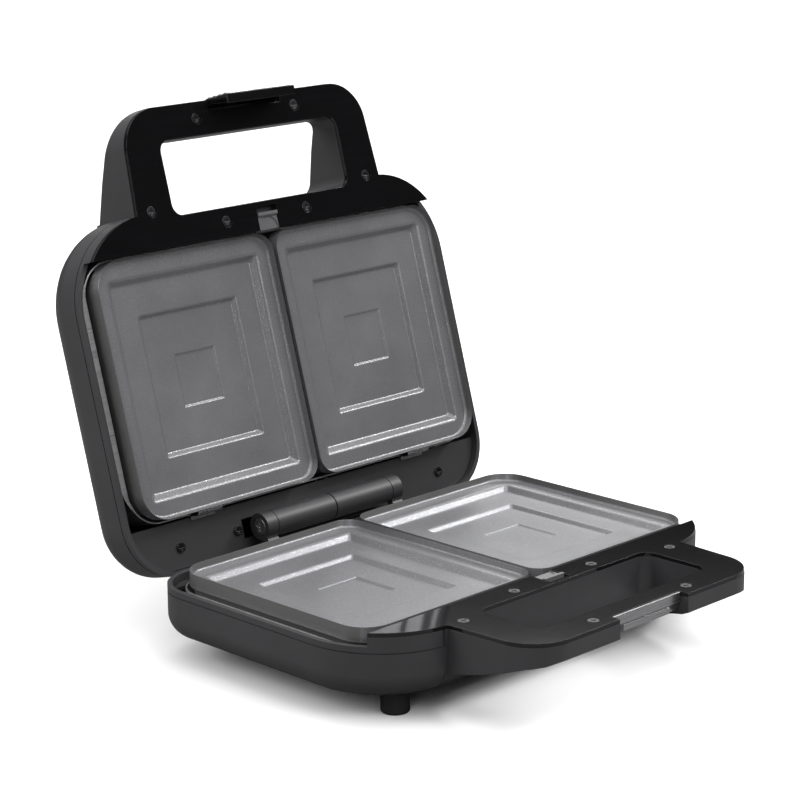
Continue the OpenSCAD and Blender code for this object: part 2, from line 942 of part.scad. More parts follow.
module lid_wires() {
    color("#c9c2b2")
        upper() {
            union() {
                wire_x(-18, -16.1, 10, pan_h + 3.9);
                bend(-18, 10, pan_h + 3.9);
                wire_y(-18, 10, hy - 20, pan_h + 3.9);
            }
            union() {
                wire_x(16.1, 26, 10, pan_h + 3.9);
                bend(26, 10, pan_h + 3.9);
                wire_y(26, 10, hinge_y - 5, pan_h + 3.9);
                bend(26, hinge_y - 5, pan_h + 3.9);
                wire_h(26, hinge_y - 5, 13.6, pan_h + 3.9);
            }
            union() {
                wire_y(18, hy - 20, hinge_y - 5, pan_h + 3.9);
                bend(18, hinge_y - 5, pan_h + 3.9);
                wire_h(18, hinge_y - 5, 13.6, pan_h + 3.9);
            }
        }
}
module indicator_lenses() {
    color("#b83a2c")
        upper()
            for (sx = [-1, 1])
                translate([sx * 11, lens_y, lid_depth - 7.6])
                    union() {
                        cylinder(h = 4.2, r = 3.5);
                        translate([0, 0, -1])
                            cylinder(h = 1, r = 2.6);
                    }
}
module indicator_lamps() {
    color("#d98a4a")
        upper()
            for (sx = [-1, 1])
                translate([sx * 11, lens_y, lid_depth - 16.2])
                    union() {
                        cylinder(h = 7, r = 2.2);
                        translate([0, 0, -2])
                            cylinder(h = 2, r = 3.4);
                    }
}

// ---- latch on the lid handle ----
module latch_pin() {
    color("#a8a8aa")
        upper()
            translate([0, pivot_y, pivot_h])
                rod_x(-notch_x - 1.8, notch_x + 1.8, 1.5);
}
module latch() {
    color("#121213")
        upper()
            difference() {
                union() {
                    translate([0, pivot_y, pivot_h])
                        rod_x(-notch_x + 1.5, notch_x - 1.5, 3.1);
                    along_x(-notch_x + 1.5, notch_x - 1.5)
                        polygon([[pivot_y - 3.1, pivot_h], [pivot_y - 3.1, -13.6],
                            [grip_y + 4.6, -13.6], [grip_y + 4.6, -12.6], [grip_y + 4, -11.2],
                            [grip_y + 2.4, -11.2], [grip_y + 2.4, -1], [pivot_y + 3.1, pivot_h - 2]]);
                }
                translate([0, pivot_y, pivot_h])
                    rod_x(-30, 30, 1.55);
            }
}
module latch_trim() {
    color("#c8c8ca")
        upper()
            union() {
                translate([-notch_x + 3.5, pivot_y - 3.7, -12.6])
                    cube([2 * notch_x - 7, 0.6, 18]);
                for (i = [0 : 3])
                    translate([-notch_x + 3.5, pivot_y - 4.1, -11.2 + i * 4.2])
                        cube([2 * notch_x - 7, 0.5, 2.2]);
            }
}

base_shell();
base_fascia();
base_rear_cover();
base_reflector();
base_heater();
base_heater_brackets();
base_plate_tabs();
base_fascia_screws();
base_rear_screws();
feet();
foot_screws();
catch_bar();
thermostat();
terminal_block();
cord_gland();
base_wires();
hinge_pin();
hinge_cap();
lower_plate();
lower_release_clip();
lid_shell();
lid_fascia();
lid_rear_cover();
lid_reflector();
lid_heater();
lid_heater_brackets();
lid_plate_tabs();
lid_fascia_screws();
lid_rear_screws();
thermal_fuse();
lid_wires();
indicator_lenses();
indicator_lamps();
latch_pin();
upper_plate();
upper_release_clip();
latch();
latch_trim();
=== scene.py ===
"""Looks of a two-slice hinged contact toaster: casing, plates, grips, hinge, latch and stage."""

import json
import math

import bmesh
import bpy
from bpy.props import FloatProperty, FloatVectorProperty, IntProperty, PointerProperty
from mathutils import Matrix, Vector


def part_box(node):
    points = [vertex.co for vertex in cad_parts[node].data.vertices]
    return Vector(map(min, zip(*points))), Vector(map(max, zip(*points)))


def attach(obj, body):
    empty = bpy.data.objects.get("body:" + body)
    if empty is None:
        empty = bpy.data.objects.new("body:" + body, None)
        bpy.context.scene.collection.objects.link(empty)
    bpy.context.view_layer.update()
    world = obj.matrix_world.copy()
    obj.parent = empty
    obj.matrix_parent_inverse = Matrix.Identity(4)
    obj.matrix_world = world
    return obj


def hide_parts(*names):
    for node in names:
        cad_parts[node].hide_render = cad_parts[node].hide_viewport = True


bl_info = {
    "name": "Two-slice hinged toaster",
    "version": (1, 0, 0),
    "blender": (4, 5, 0),
    "location": "3D View > Sidebar > Toaster",
    "description": "Builds the visible pieces of a hinged toaster round its frame",
    "category": "Add Mesh",
}

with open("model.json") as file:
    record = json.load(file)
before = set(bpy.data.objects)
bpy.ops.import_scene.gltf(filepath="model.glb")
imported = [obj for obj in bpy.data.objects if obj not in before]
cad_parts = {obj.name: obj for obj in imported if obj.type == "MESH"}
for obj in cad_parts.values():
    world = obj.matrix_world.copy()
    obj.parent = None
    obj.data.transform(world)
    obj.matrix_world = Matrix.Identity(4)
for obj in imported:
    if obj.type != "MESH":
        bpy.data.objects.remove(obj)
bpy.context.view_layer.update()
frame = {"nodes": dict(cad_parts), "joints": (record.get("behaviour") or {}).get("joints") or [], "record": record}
PLATE_LOW, PLATE_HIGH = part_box("lower_plate")
RIM = PLATE_HIGH.z
HINGE = next(j for j in frame["joints"] if j["name"] == "lid_hinge")
AXIS = Vector(HINGE["pos_m"])
OPEN = math.radians(-HINGE["range_deg"][0])
GAP = 0.0006  # between the closed halves
ROUGH_SPREAD = 0.06  # how far handling marks move a plastic's roughness
MID = Vector((0, (PLATE_LOW.y + PLATE_HIGH.y) / 2, 0))


def upper_half():
    """Carries a piece of the lower half to its twin in the lid, as it stands open."""
    flip = Matrix.Translation((0, 0, 2 * RIM + GAP)) @ Matrix.Scale(-1, 4, (0, 0, 1))
    swing = Matrix.Translation(AXIS) @ Matrix.Rotation(-OPEN, 4, "X") @ Matrix.Translation(-AXIS)
    return swing @ flip


# ---- sizes and colours ----


def length(name, words, value):
    return FloatProperty(name=name, description=words, default=value, unit="LENGTH")


def colour(name, words, value):
    return FloatVectorProperty(
        name=name, description=words, subtype="COLOR", size=3, default=value, min=0, max=1
    )


class PlateSizes(bpy.types.PropertyGroup):
    land_drop: length("Land drop", "From the rim to the outer land of a cell", 0.0045)
    wall_margin: length("Rim width", "Width of the flat rim round a cell", 0.002)
    ridge: length("Half ridge", "Half the width of the ridge between the cells", 0.0032)
    land_width: length("Land width", "Width of the outer land across the cell", 0.0072)
    land_depth: length("Land depth", "Width of the outer land front to back", 0.008)
    step_one: length("First step", "Depth of the first step", 0.0032)
    step_two: length("Second step", "Depth of the second step", 0.002)
    step_three: length("Middle square", "Depth of the middle square", 0.001)
    corner: length("Corner", "Outside corner radius of a plate", 0.015)
    skirt: length("Skirt", "Height of the plate's outer skirt", 0.008)


class EdgeSizes(bpy.types.PropertyGroup):
    casing: length("Casing edge", "Rounding of the casing's moulded edges", 0.0012)
    fascia: length("Fascia edge", "Rounding of the fascia's edges", 0.0006)
    metal: length("Metal edge", "Rounding of small metal pieces", 0.00025)
    small: length("Small edge", "Rounding of small plastic pieces", 0.0004)
    segments: IntProperty(name="Segments", description="Faces across a rounded edge", default=3, min=1, max=6)


class FinishColours(bpy.types.PropertyGroup):
    casing: colour("Casing", "Satin dark grey plastic", (0.034, 0.0335, 0.036))
    fascia: colour("Fascia", "Gloss black plastic", (0.004, 0.004, 0.0045))
    coating: colour("Coating", "Non-stick coating of the plates", (0.168, 0.168, 0.175))
    skirt: colour("Plate side", "Outer wall of the plates", (0.16, 0.157, 0.155))
    bright: colour("Bright metal", "Steel and plated pieces", (0.46, 0.46, 0.47))
    sheet: colour("Reflector", "Rolled reflector sheet", (0.60, 0.60, 0.61))
    dark_steel: colour("Dark steel", "Blackened screws", (0.08, 0.08, 0.084))
    clip: colour("Clip", "Grey release clips", (0.10, 0.10, 0.104))
    rubber: colour("Rubber", "Feet and gland", (0.004, 0.004, 0.004))
    ceramic: colour("Ceramic", "Switch and terminal bodies", (0.62, 0.58, 0.50))
    lens: colour("Lens", "Indicator lens", (0.30, 0.012, 0.010))


SETTINGS = {"toaster_plates": PlateSizes, "toaster_edges": EdgeSizes, "toaster_colours": FinishColours}


# ---- shared effects ----


def group_socket(tree, name, way, kind="NodeSocketFloat", value=None):
    made = tree.interface.new_socket(name=name, in_out=way, socket_type=kind)
    if value is not None:
        made.default_value = value


def new_group(name):
    tree = bpy.data.node_groups.new(name, "ShaderNodeTree")
    return tree, tree.nodes.new("NodeGroupInput"), tree.nodes.new("NodeGroupOutput")


def math_node(tree, operation, a, b):
    node = tree.nodes.new("ShaderNodeMath")
    node.operation = operation
    for socket, value in zip(node.inputs, (a, b)):
        if isinstance(value, (int, float)):
            socket.default_value = value
        else:
            tree.links.new(value, socket)
    return node.outputs[0]


def noise_node(tree, vector, scale, detail=3.0, roughness=0.55):
    node = tree.nodes.new("ShaderNodeTexNoise")
    node.inputs["Detail"].default_value = detail
    node.inputs["Roughness"].default_value = roughness
    tree.links.new(vector, node.inputs["Vector"])
    if isinstance(scale, (int, float)):
        node.inputs["Scale"].default_value = scale
    else:
        tree.links.new(scale, node.inputs["Scale"])
    return node.outputs["Fac"]


def bump_node(tree, height, strength, distance):
    node = tree.nodes.new("ShaderNodeBump")
    node.inputs["Distance"].default_value = distance
    tree.links.new(height, node.inputs["Height"])
    if isinstance(strength, (int, float)):
        node.inputs["Strength"].default_value = strength
    else:
        tree.links.new(strength, node.inputs["Strength"])
    return node.outputs["Normal"]


def grain_group():
    """Fine moulded or blasted grain: a normal, and a slow mottle for colour and gloss."""
    tree, into, out = new_group("moulded_grain")
    group_socket(tree, "Vector", "INPUT", "NodeSocketVector")
    group_socket(tree, "Grain Scale", "INPUT", value=2200.0)
    group_socket(tree, "Grain Strength", "INPUT", value=0.2)
    group_socket(tree, "Mottle", "OUTPUT")
    group_socket(tree, "Normal", "OUTPUT", "NodeSocketVector")
    vector = into.outputs["Vector"]
    fine = noise_node(tree, vector, into.outputs["Grain Scale"], 2.0, 0.6)
    tree.links.new(bump_node(tree, fine, into.outputs["Grain Strength"], 0.0002), out.inputs["Normal"])
    slow = noise_node(tree, vector, 22.0, 4.0, 0.6)
    tree.links.new(slow, out.inputs["Mottle"])
    return tree


def flake_group():
    """Fine bright flakes scattered in a coating, as a mask."""
    tree, into, out = new_group("coating_flakes")
    group_socket(tree, "Vector", "INPUT", "NodeSocketVector")
    group_socket(tree, "Flake Scale", "INPUT", value=1500.0)
    group_socket(tree, "Amount", "INPUT", value=0.2)
    group_socket(tree, "Flakes", "OUTPUT")
    cells = tree.nodes.new("ShaderNodeTexVoronoi")
    tree.links.new(into.outputs["Vector"], cells.inputs["Vector"])
    tree.links.new(into.outputs["Flake Scale"], cells.inputs["Scale"])
    split = tree.nodes.new("ShaderNodeSeparateColor")
    tree.links.new(cells.outputs["Color"], split.inputs["Color"])
    floor_value = math_node(tree, "SUBTRACT", 1.0, into.outputs["Amount"])
    over = math_node(tree, "SUBTRACT", split.outputs["Red"], floor_value)
    sharp = tree.nodes.new("ShaderNodeMath")
    sharp.operation = "MULTIPLY"
    sharp.use_clamp = True
    tree.links.new(over, sharp.inputs[0])
    sharp.inputs[1].default_value = 9.0
    tree.links.new(sharp.outputs[0], out.inputs["Flakes"])
    return tree


def dust_group():
    """Faint handling marks and settled dust, as a mask that lifts the roughness."""
    tree, into, out = new_group("handling_marks")
    group_socket(tree, "Vector", "INPUT", "NodeSocketVector")
    group_socket(tree, "Amount", "INPUT", value=0.5)
    group_socket(tree, "Marks", "OUTPUT")
    vector = into.outputs["Vector"]
    broad = noise_node(tree, vector, 35.0, 5.0, 0.65)
    stretch = tree.nodes.new("ShaderNodeMapping")
    stretch.inputs["Scale"].default_value = (40.0, 900.0, 400.0)
    stretch.inputs["Rotation"].default_value = (0.1, 0.2, 0.5)
    tree.links.new(vector, stretch.inputs["Vector"])
    lines = noise_node(tree, stretch.outputs["Vector"], 1.0, 2.0, 0.5)
    both = math_node(tree, "MULTIPLY", broad, lines)
    tree.links.new(math_node(tree, "MULTIPLY", both, into.outputs["Amount"]), out.inputs["Marks"])
    return tree


def drawn_group():
    """Fine parallel lines left by rolling or brushing, as a mask and a normal."""
    tree, into, out = new_group("drawn_lines")
    group_socket(tree, "Vector", "INPUT", "NodeSocketVector")
    group_socket(tree, "Strength", "INPUT", value=0.1)
    group_socket(tree, "Lines", "OUTPUT")
    group_socket(tree, "Normal", "OUTPUT", "NodeSocketVector")
    stretch = tree.nodes.new("ShaderNodeMapping")
    stretch.inputs["Scale"].default_value = (30.0, 2600.0, 2600.0)
    tree.links.new(into.outputs["Vector"], stretch.inputs["Vector"])
    lines = noise_node(tree, stretch.outputs["Vector"], 1.0, 3.0, 0.6)
    tree.links.new(lines, out.inputs["Lines"])
    tree.links.new(bump_node(tree, lines, into.outputs["Strength"], 0.0002), out.inputs["Normal"])
    return tree


MAKERS = {"grain": grain_group, "flakes": flake_group, "marks": dust_group, "drawn": drawn_group}
GROUPS = {}


def shared(name):
    if name not in GROUPS:
        GROUPS[name] = MAKERS[name]()
    return GROUPS[name]


# ---- materials ----


def new_material(name, **values):
    material = bpy.data.materials.new(name)
    material.use_nodes = True
    tree = material.node_tree
    shader = next(n for n in tree.nodes if n.type == "BSDF_PRINCIPLED")
    for key, value in values.items():
        shader.inputs[key.replace("_", " ")].default_value = value
    place = tree.nodes.new("ShaderNodeTexCoord")
    return material, tree, shader, place.outputs["Object"]


def use_group(tree, name, vector, **values):
    node = tree.nodes.new("ShaderNodeGroup")
    node.node_tree = shared(name)
    tree.links.new(vector, node.inputs["Vector"])
    for key, value in values.items():
        node.inputs[key.replace("_", " ")].default_value = value
    return node


def ramp(tree, value, low, high, at=(0.3, 0.7)):
    """Colour or grey between low and high as value goes through the range at."""
    node = tree.nodes.new("ShaderNodeValToRGB")
    tree.links.new(value, node.inputs["Fac"])
    for stop, where, tone in zip(node.color_ramp.elements, at, (low, high)):
        stop.position = where
        stop.color = (*tone, 1) if not isinstance(tone, float) else (tone, tone, tone, 1)
    return node.outputs["Color"]


def tint(tone, factor):
    return tuple(min(1.0, c * factor) for c in tone)


def moulded_plastic(name, tone, rough, grain=0.2, scale=2200.0):
    material, tree, shader, vector = new_material(name)
    grain_node = use_group(tree, "grain", vector, Grain_Scale=scale, Grain_Strength=grain)
    marks = use_group(tree, "marks", vector, Amount=0.5)
    base = ramp(tree, grain_node.outputs["Mottle"], tint(tone, 0.9), tint(tone, 1.12))
    tree.links.new(base, shader.inputs["Base Color"])
    lift = math_node(tree, "MULTIPLY_ADD", marks.outputs["Marks"], ROUGH_SPREAD * 2)
    lift.node.inputs[2].default_value = rough - ROUGH_SPREAD * 0.4
    tree.links.new(lift, shader.inputs["Roughness"])
    tree.links.new(grain_node.outputs["Normal"], shader.inputs["Normal"])
    return material


def gloss_plastic(name, tone, rough=0.05):
    material, tree, shader, vector = new_material(name)
    marks = use_group(tree, "marks", vector, Amount=0.6)
    base = ramp(tree, marks.outputs["Marks"], tone, tint(tone, 1.5), (0.1, 0.4))
    tree.links.new(base, shader.inputs["Base Color"])
    lift = math_node(tree, "MULTIPLY_ADD", marks.outputs["Marks"], 0.05)
    lift.node.inputs[2].default_value = rough
    tree.links.new(lift, shader.inputs["Roughness"])
    slow = noise_node(tree, vector, 60.0, 1.0)
    tree.links.new(bump_node(tree, slow, 0.02, 0.0005), shader.inputs["Normal"])
    return material


def plate_coating(name, tone):
    material, tree, shader, vector = new_material(name)
    flakes = use_group(tree, "flakes", vector, Flake_Scale=2300.0, Amount=0.12)
    grain = use_group(tree, "grain", vector, Grain_Scale=1400.0, Grain_Strength=0.35)
    base = ramp(tree, grain.outputs["Mottle"], tint(tone, 0.93), tint(tone, 1.07))
    mix = tree.nodes.new("ShaderNodeMix")
    mix.data_type = "RGBA"
    tree.links.new(flakes.outputs["Flakes"], mix.inputs["Factor"])
    tree.links.new(base, mix.inputs["A"])
    mix.inputs["B"].default_value = (*tint(tone, 1.9), 1)
    tree.links.new(mix.outputs["Result"], shader.inputs["Base Color"])
    tree.links.new(ramp(tree, flakes.outputs["Flakes"], 0.35, 0.9, (0.0, 1.0)), shader.inputs["Metallic"])
    tree.links.new(ramp(tree, grain.outputs["Mottle"], 0.29, 0.36), shader.inputs["Roughness"])
    tree.links.new(grain.outputs["Normal"], shader.inputs["Normal"])
    return material


def metal(name, tone, rough, strength=0.08):
    material, tree, shader, vector = new_material(name, Metallic=1.0)
    lines = use_group(tree, "drawn", vector, Strength=strength)
    base = ramp(tree, lines.outputs["Lines"], tint(tone, 0.85), tint(tone, 1.1))
    tree.links.new(base, shader.inputs["Base Color"])
    tree.links.new(ramp(tree, lines.outputs["Lines"], rough * 0.8, rough * 1.25), shader.inputs["Roughness"])
    tree.links.new(lines.outputs["Normal"], shader.inputs["Normal"])
    return material


def cast_side(name, tone):
    material, tree, shader, vector = new_material(name)
    grain = use_group(tree, "grain", vector, Grain_Scale=900.0, Grain_Strength=0.3)
    base = ramp(tree, grain.outputs["Mottle"], tint(tone, 0.88), tint(tone, 1.1))
    tree.links.new(base, shader.inputs["Base Color"])
    tree.links.new(ramp(tree, grain.outputs["Mottle"], 0.5, 0.7), shader.inputs["Metallic"])
    tree.links.new(ramp(tree, grain.outputs["Mottle"], 0.38, 0.5), shader.inputs["Roughness"])
    tree.links.new(grain.outputs["Normal"], shader.inputs["Normal"])
    return material


def build_finishes(c):
    return {
        "casing": moulded_plastic("satin_casing", tuple(c.casing), 0.40, 0.16),
        "rear_cover": moulded_plastic("satin_cover", tint(c.casing, 0.75), 0.45, 0.16),
        "fascia": gloss_plastic("gloss_fascia", tuple(c.fascia)),
        "latch": gloss_plastic("gloss_latch", tuple(c.fascia), 0.12),
        "plate": plate_coating("plate_coating", tuple(c.coating)),
        "plate_side": cast_side("plate_side", tuple(c.skirt)),
        "bright_metal": metal("bright_steel", tuple(c.bright), 0.27, 0.03),
        "bright_trim": metal("plated_trim", tint(c.bright, 1.15), 0.16, 0.04),
        "reflector": metal("rolled_sheet", tuple(c.sheet), 0.34, 0.02),
        "heater": metal("heater_sheath", tint(c.bright, 0.4), 0.45),
        "dark_screw": metal("dark_screw_steel", tuple(c.dark_steel), 0.27),
        "clip": moulded_plastic("grey_clip", tuple(c.clip), 0.38, 0.12),
        "rubber": moulded_plastic("foot_rubber", tuple(c.rubber), 0.62, 0.3, 1400.0),
        "gland": moulded_plastic("gland_rubber", tuple(c.rubber), 0.55, 0.3, 1400.0),
        "ceramic": moulded_plastic("unglazed_ceramic", tuple(c.ceramic), 0.7, 0.4, 1200.0),
        "wire": moulded_plastic("sleeved_wire", tint(c.ceramic, 0.9), 0.65, 0.5, 1800.0),
        "lens": gloss_plastic("indicator_lens", tuple(c.lens), 0.12),
        "lamp": gloss_plastic("indicator_lamp", (0.7, 0.6, 0.5), 0.1),
    }


FINISH = {}


def finish(name):
    if not FINISH:
        FINISH.update(build_finishes(bpy.context.scene.toaster_colours))
    return FINISH[name]


SLOT_OF = {s["node"]: s["material_slot"] for s in frame["record"]["subparts"]}
BODY_OF = {n: b for b, group in frame["record"]["behaviour"]["bodies"].items() for n in group}


def place(bm, name, node, finishes, smooth=35.0):
    """Makes the object of a piece that stands for a node and rides on its body."""
    mesh = bpy.data.meshes.new(name)
    bm.to_mesh(mesh)
    bm.free()
    for f in finishes:
        mesh.materials.append(finish(f))
    mesh.shade_smooth()
    mesh.set_sharp_from_angle(angle=math.radians(smooth))
    obj = bpy.data.objects.new(name, mesh)
    bpy.context.scene.collection.objects.link(obj)
    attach(obj, BODY_OF[node])
    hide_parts(node)
    even = obj.modifiers.new("even_shading", "WEIGHTED_NORMAL")
    even.weight = 100
    even.keep_sharp = True
    return obj


def soft_copy(node, width, segments=2, angle=28.0, merge=2e-6):
    """A clean copy of a node's surface, with its sharp edges rounded."""
    bm = bmesh.new()
    bm.from_mesh(frame["nodes"][node].data)
    bmesh.ops.remove_doubles(bm, verts=bm.verts, dist=merge)
    bmesh.ops.dissolve_limit(bm, angle_limit=math.radians(0.6), verts=bm.verts, edges=bm.edges)
    limit = math.radians(angle)
    sharp = [e for e in bm.edges if len(e.link_faces) == 2 and e.calc_face_angle(0) > limit]
    bmesh.ops.bevel(
        bm,
        geom=sharp,
        offset=width,
        offset_type="OFFSET",
        segments=segments,
        profile=0.5,
        affect="EDGES",
        material=-1,
        clamp_overlap=True,
    )
    return bm


def soften(node, name, width, segments=2, angle=28.0):
    return place(soft_copy(node, width, segments, angle), name, node, [SLOT_OF[node]])


# ---- plates ----


def level_edges(bm, z, tight=1e-5, angle=0.3):
    """Folded edges that lie at one height."""
    return [
        e
        for e in bm.edges
        if len(e.link_faces) == 2
        and abs(e.verts[0].co.z - z) < tight
        and abs(e.verts[1].co.z - z) < tight
        and e.calc_face_angle(0) > angle
    ]


def round_edges(bm, edges, radius, segments):
    bmesh.ops.bevel(
        bm,
        geom=edges,
        offset=radius,
        offset_type="OFFSET",
        segments=segments,
        profile=0.5,
        affect="EDGES",
        material=-1,
    )


def sink(bm, face, centre, sx, sy, dz):
    """Extrudes a face, scales it about the cell's middle and moves it."""
    made = bmesh.ops.extrude_discrete_faces(bm, faces=[face])["faces"][0]
    space = Matrix.Translation(-centre)
    bmesh.ops.scale(bm, vec=(sx, sy, 1), space=space, verts=made.verts)
    bmesh.ops.translate(bm, vec=(0, 0, dz), verts=made.verts)
    return made


def plate_mesh(s):
    """A whole plate as it lies in the base, rim up."""
    hx, hy = PLATE_HIGH.x, PLATE_HIGH.y - MID.y
    bm = bmesh.new()
    made = bmesh.ops.create_grid(bm, x_segments=1, y_segments=1, size=0.5)["verts"]
    bmesh.ops.scale(bm, vec=(hx, 2 * hy, 1), verts=made)
    bmesh.ops.translate(bm, vec=(hx / 2, 0, RIM), verts=made)
    outer = [v for v in bm.verts if v.co.x > hx * 0.9]
    bmesh.ops.bevel(bm, geom=outer, offset=s.corner, segments=10, profile=0.5, affect="VERTICES", material=-1)
    bm.faces.ensure_lookup_table()
    bmesh.ops.inset_region(bm, faces=[bm.faces[0]], thickness=s.wall_margin, use_even_offset=True)
    opening = max(bm.faces, key=lambda f: f.calc_area())
    inner = [v for v in opening.verts if v.co.x < s.wall_margin * 1.2]
    bmesh.ops.translate(bm, vec=(s.ridge - s.wall_margin, 0, 0), verts=inner)
    bmesh.ops.bevel(bm, geom=inner, offset=0.010, segments=10, profile=0.5, affect="VERTICES", material=-1)
    opening = max(bm.faces, key=lambda f: f.calc_area())
    cell_in, cell_out = s.ridge, hx - s.wall_margin
    cx, cell_x, cell_y = (cell_in + cell_out) / 2, (cell_out - cell_in) / 2, hy - s.wall_margin
    middle = Vector((cx, 0, RIM))
    draft = 0.0008
    face = sink(bm, opening, middle, 1 - draft / cell_x, 1 - draft / cell_y, -s.land_drop)
    one_x, one_y = cell_x - s.land_width, cell_y - s.land_depth
    face = sink(bm, face, middle, one_x / (cell_x - draft), one_y / (cell_y - draft), 0)
    for sx in (-1, 1):
        for sy in (-1, 1):
            corner = Vector((cx + sx * one_x, sy * one_y, 0))
            near = [v for v in face.verts if (v.co.xy - corner.xy).length < 0.0132]
            bmesh.ops.scale(bm, vec=(0.16, 0.16, 1), space=Matrix.Translation(-corner), verts=near)
    depth = s.step_one
    face = sink(bm, face, middle, 1 - depth / one_x, 1 - depth / one_y, -depth)
    two_x, two_y = one_x * 0.655, one_y * 0.652
    face = sink(bm, face, middle, two_x / (one_x - depth), two_y / (one_y - depth), 0)
    face = sink(bm, face, middle, 1 - s.step_two / two_x, 1 - s.step_two / two_y, -s.step_two)
    three_x, three_y = one_x * 0.265, one_y * 0.245
    face = sink(bm, face, middle, three_x / (two_x - s.step_two), three_y / (two_y - s.step_two), 0)
    face = sink(bm, face, middle, 1 - s.step_three / three_x, 1 - s.step_three / three_y, -s.step_three)
    land = RIM - s.land_drop
    floor_one = land - s.step_one
    floor_two = floor_one - s.step_two
    skirt = [e for e in bm.edges if e.is_boundary and max(v.co.x for v in e.verts) > 1e-5]
    for shrink, dz in ((0.0, -s.skirt), (0.0015, 0.0), (0.0, PLATE_LOW.z - RIM + s.skirt)):
        made = bmesh.ops.extrude_edge_only(bm, edges=skirt)["geom"]
        verts = [g for g in made if isinstance(g, bmesh.types.BMVert)]
        skirt = [g for g in made if isinstance(g, bmesh.types.BMEdge)]
        bmesh.ops.scale(bm, vec=(1 - shrink / hx, 1 - shrink / hy, 1), verts=verts)
        bmesh.ops.translate(bm, vec=(0, 0, dz), verts=verts)
    everything = bm.verts[:] + bm.edges[:] + bm.faces[:]
    bmesh.ops.mirror(bm, geom=everything, matrix=Matrix.Identity(4), merge_dist=1e-5, axis="X")
    open_edges = [e for e in bm.edges if e.is_boundary]
    under = bmesh.ops.contextual_create(bm, geom=open_edges)["faces"]
    bmesh.ops.inset_region(bm, faces=under, thickness=0.0028, use_even_offset=True)
    bottom = [f for f in bm.faces if abs(f.calc_center_median().z - PLATE_LOW.z) < 1e-5]
    base = max(bottom, key=lambda f: f.calc_area())
    made = bmesh.ops.extrude_discrete_faces(bm, faces=[base])["faces"][0]
    bmesh.ops.translate(bm, vec=(0, 0, 0.0012), verts=made.verts)
    bmesh.ops.recalc_face_normals(bm, faces=bm.faces)
    flat = [e for e in bm.edges if len(e.link_faces) == 2 and e.calc_face_angle(0) < 1e-4]
    seam = [e for e in flat if all(abs(v.co.x) < 1e-6 for v in e.verts)]
    bmesh.ops.dissolve_edges(bm, edges=seam)
    round_edges(bm, level_edges(bm, RIM), 0.0009, 4)
    round_edges(bm, level_edges(bm, land), 0.0012, 4)
    round_edges(bm, level_edges(bm, floor_one), 0.0007, 3)
    round_edges(bm, level_edges(bm, floor_two), 0.0005, 3)
    for face in bm.faces:
        side = abs(face.normal.z) < 0.35 and face.calc_center_median().z < RIM - 0.0006
        reach_x = max(abs(v.co.x) / hx for v in face.verts)
        reach_y = max(abs(v.co.y) / hy for v in face.verts)
        outside = reach_x > 0.985 or reach_y > 0.975
        below = face.calc_center_median().z < RIM - s.skirt + 1e-5 and face.normal.z < 0.1
        face.material_index = 1 if (side and outside) or below else 0
    bmesh.ops.translate(bm, vec=MID, verts=bm.verts)
    return bm


class TOASTER_OT_plates(bpy.types.Operator):
    """Makes the two lift-out cooking plates"""

    bl_idname = "toaster.plates"
    bl_label = "Cooking plates"

    def execute(self, context):
        sizes = context.scene.toaster_plates
        place(plate_mesh(sizes), "lower_cooking_plate", "lower_plate", ["plate", "plate_side"], 40)
        bm = plate_mesh(sizes)
        bmesh.ops.transform(bm, matrix=upper_half(), verts=bm.verts)
        bmesh.ops.recalc_face_normals(bm, faces=bm.faces)
        place(bm, "upper_cooking_plate", "upper_plate", ["plate", "plate_side"], 40)
        return {"FINISHED"}


# ---- casing and trim ----


class TOASTER_OT_casing(bpy.types.Operator):
    """Makes the base and lid casings and their rear covers"""

    bl_idname = "toaster.casing"
    bl_label = "Casings and rear covers"

    def execute(self, context):
        edges = context.scene.toaster_edges
        soften("base_shell", "base_casing", edges.casing, edges.segments)
        soften("lid_shell", "lid_casing", edges.casing, edges.segments)
        soften("base_rear_cover", "base_cover", edges.small, 2)
        soften("lid_rear_cover", "lid_cover", edges.small, 2)
        return {"FINISHED"}


class TOASTER_OT_fascias(bpy.types.Operator):
    """Makes the two gloss fascias"""

    bl_idname = "toaster.fascias"
    bl_label = "Gloss fascias"

    def execute(self, context):
        edges = context.scene.toaster_edges
        soften("base_fascia", "base_gloss_fascia", edges.fascia, 3)
        soften("lid_fascia", "lid_gloss_fascia", edges.fascia, 3)
        return {"FINISHED"}


class TOASTER_OT_latch(bpy.types.Operator):
    """Makes the latch, its trim, the catch bar and the release clips"""

    bl_idname = "toaster.latch"
    bl_label = "Latch, catch and clips"

    def execute(self, context):
        edges = context.scene.toaster_edges
        soften("latch", "lid_latch", edges.small, 3)
        soften("latch_trim", "lid_latch_trim", edges.metal, 2)
        soften("catch_bar", "base_catch_bar", edges.small, 3)
        soften("lower_release_clip", "lower_clip_slider", edges.small, 3)
        soften("upper_release_clip", "upper_clip_slider", edges.small, 3)
        return {"FINISHED"}


class TOASTER_OT_hardware(bpy.types.Operator):
    """Makes the screws, hinge pin and cap, plate tabs and feet"""

    bl_idname = "toaster.hardware"
    bl_label = "Screws, hinge pin, tabs and feet"

    def execute(self, context):
        edges = context.scene.toaster_edges
        for where in ("base_fascia", "lid_fascia", "base_rear", "lid_rear", "foot"):
            soften(where + "_screws", where + "_screws_heads", edges.metal * 0.6, 2)
        for node in ("hinge_pin", "hinge_cap", "base_plate_tabs", "lid_plate_tabs", "latch_pin"):
            soften(node, node + "_metal", edges.metal, 2)
        soften("feet", "rubber_feet", edges.casing, 3)
        soften("cord_gland", "lead_gland", edges.small, 2)
        return {"FINISHED"}


